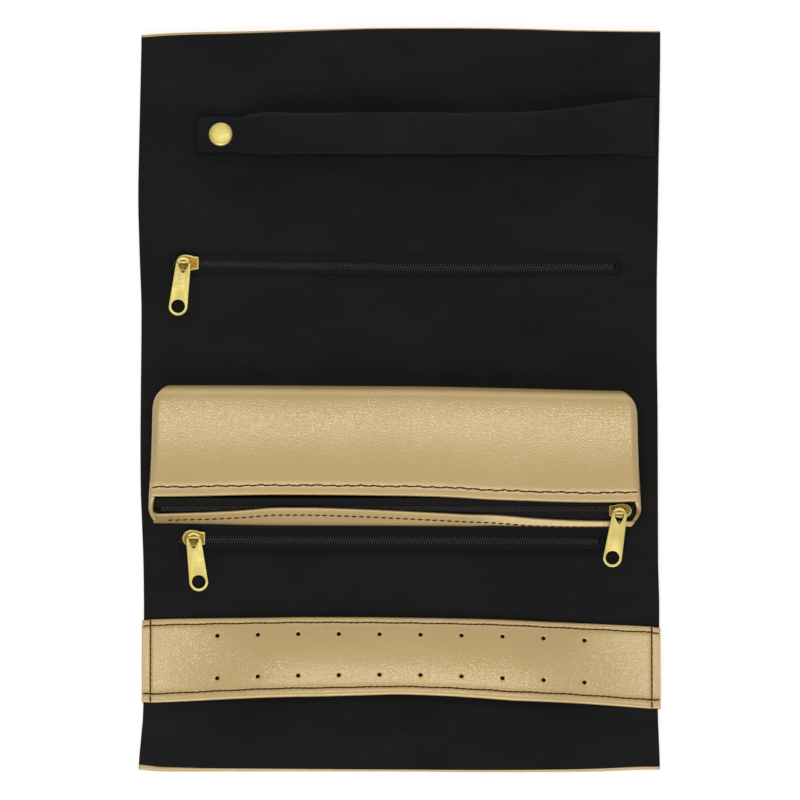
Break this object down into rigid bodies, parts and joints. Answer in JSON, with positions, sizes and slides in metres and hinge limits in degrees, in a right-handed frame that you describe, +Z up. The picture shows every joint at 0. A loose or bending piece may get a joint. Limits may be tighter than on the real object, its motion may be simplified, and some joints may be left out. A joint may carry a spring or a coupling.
{
  "type": "jewelry roll",
  "caption": "Fold-up jewelry roll laid open: leather cover, black lining, zipped pockets, leather zip pouch, snap ring bar and punched earring strip.",
  "frame": {"origin": "middle of the opened roll, on the surface it lies on", "axes": "+X to the right along the folds, +Y towards the top flap, +Z up out of the lining"},
  "size_m": [0.255, 0.37, 0.0233],
  "materials": {
    "leather": "tan pebbled leather, semi-gloss",
    "lining": "black brushed lining cloth, matte",
    "padding": "thin foam and felt interlining",
    "tape": "black woven zipper tape",
    "coil": "black nylon coil",
    "gold": "polished gold plating",
    "magnet": "plated magnet disc"
  },
  "bodies": {
    "pouch_panel": {"cover_pouch_panel": "leather", "padding_pouch_panel": "padding", "lining_pouch_panel": "lining", "lower_pocket_bag": "lining", "lower_zip_tape_far": "tape", "lower_zip_tape_near": "tape", "lower_zip_coil_far": "coil", "lower_zip_coil_near": "coil", "lower_zip_end_stop": "gold", "pouch_back": "leather", "pouch_end_left": "leather", "pouch_end_right": "leather", "pouch_lining": "lining", "pouch_zip_tape_near": "tape", "pouch_zip_coil_near": "coil", "pouch_zip_end_stop": "gold"},
    "earring_panel": {"cover_earring_panel": "leather", "padding_earring_panel": "padding", "lining_earring_panel": "lining", "closure_magnet_panel": "magnet", "earring_strip": "leather", "earring_strip_backing": "lining"},
    "zip_panel": {"cover_zip_panel": "leather", "padding_zip_panel": "padding", "lining_zip_panel": "lining", "upper_pocket_bag": "lining", "upper_zip_tape_far": "tape", "upper_zip_tape_near": "tape", "upper_zip_coil_far": "coil", "upper_zip_coil_near": "coil", "upper_zip_end_stop": "gold"},
    "ring_panel": {"cover_ring_panel": "leather", "padding_ring_panel": "padding", "lining_ring_panel": "lining", "ring_bar_anchor": "lining", "snap_stud": "gold", "snap_rivet": "gold"},
    "top_flap": {"cover_top_flap": "leather", "padding_top_flap": "padding", "lining_top_flap": "lining", "closure_magnet_flap": "magnet"},
    "ring_bar": {"ring_bar_cover": "lining", "ring_bar_core": "padding", "ring_bar_tab": "lining", "snap_cap": "gold", "snap_socket": "gold"},
    "pouch_flap": {"pouch_front": "leather", "pouch_zip_tape_far": "tape", "pouch_zip_coil_far": "coil"},
    "pouch_slider": {"pouch_zip_slider": "gold"},
    "pouch_pull": {"pouch_zip_pull": "gold"},
    "upper_slider": {"upper_zip_slider": "gold"},
    "upper_pull": {"upper_zip_pull": "gold"},
    "lower_slider": {"lower_zip_slider": "gold"},
    "lower_pull": {"lower_zip_pull": "gold"}
  },
  "joints": [
    {"name": "earring_fold", "type": "hinge", "parent": "pouch_panel", "child": "earring_panel", "pos_m": [0, -0.0975, 0.0075], "axis": [-1, 0, 0], "range_deg": [0, 150]},
    {"name": "pocket_fold", "type": "hinge", "parent": "pouch_panel", "child": "zip_panel", "pos_m": [0, 0.016, 0.0075], "axis": [1, 0, 0], "range_deg": [0, 115]},
    {"name": "ring_fold", "type": "hinge", "parent": "zip_panel", "child": "ring_panel", "pos_m": [0, 0.076, 0.0075], "axis": [1, 0, 0], "range_deg": [0, 75]},
    {"name": "flap_fold", "type": "hinge", "parent": "ring_panel", "child": "top_flap", "pos_m": [0, 0.156, 0.0075], "axis": [1, 0, 0], "range_deg": [0, 75]},
    {"name": "ring_bar_swing", "type": "hinge", "parent": "ring_panel", "child": "ring_bar", "pos_m": [0.11265, 0.1315, 0.0108], "axis": [0, -1, 0], "range_deg": [-150, 0]},
    {"name": "pouch_mouth", "type": "hinge", "parent": "pouch_panel", "child": "pouch_flap", "pos_m": [0, 0.0045, 0.00865], "axis": [1, 0, 0], "range_deg": [-40, 0]},
    {"name": "pouch_zip_slide", "type": "slide", "parent": "pouch_flap", "child": "pouch_slider", "axis": [1, 0, 0], "range_m": [-0.21, 0]},
    {"name": "pouch_pull_swing", "type": "hinge", "parent": "pouch_slider", "child": "pouch_pull", "pos_m": [0.1072, -0.0593, 0.0133], "axis": [1, 0, 0], "range_deg": [-110, 0]},
    {"name": "upper_zip_slide", "type": "slide", "parent": "zip_panel", "child": "upper_slider", "axis": [-1, 0, 0], "range_m": [-0.2, 0]},
    {"name": "upper_pull_swing", "type": "hinge", "parent": "upper_slider", "child": "upper_pull", "pos_m": [-0.1063, 0.0674, 0.0078], "axis": [1, 0, 0], "range_deg": [-165, 0]},
    {"name": "lower_zip_slide", "type": "slide", "parent": "pouch_panel", "child": "lower_slider", "axis": [-1, 0, 0], "range_m": [-0.185, 0]},
    {"name": "lower_pull_swing", "type": "hinge", "parent": "lower_slider", "child": "lower_pull", "pos_m": [-0.1008, -0.0704, 0.0078], "axis": [1, 0, 0], "range_deg": [-90, 0]}
  ],
  "couplings": [
    {"joint": "pouch_mouth", "follows": "pouch_zip_slide", "rad_per_m": 3.32}
  ]
}
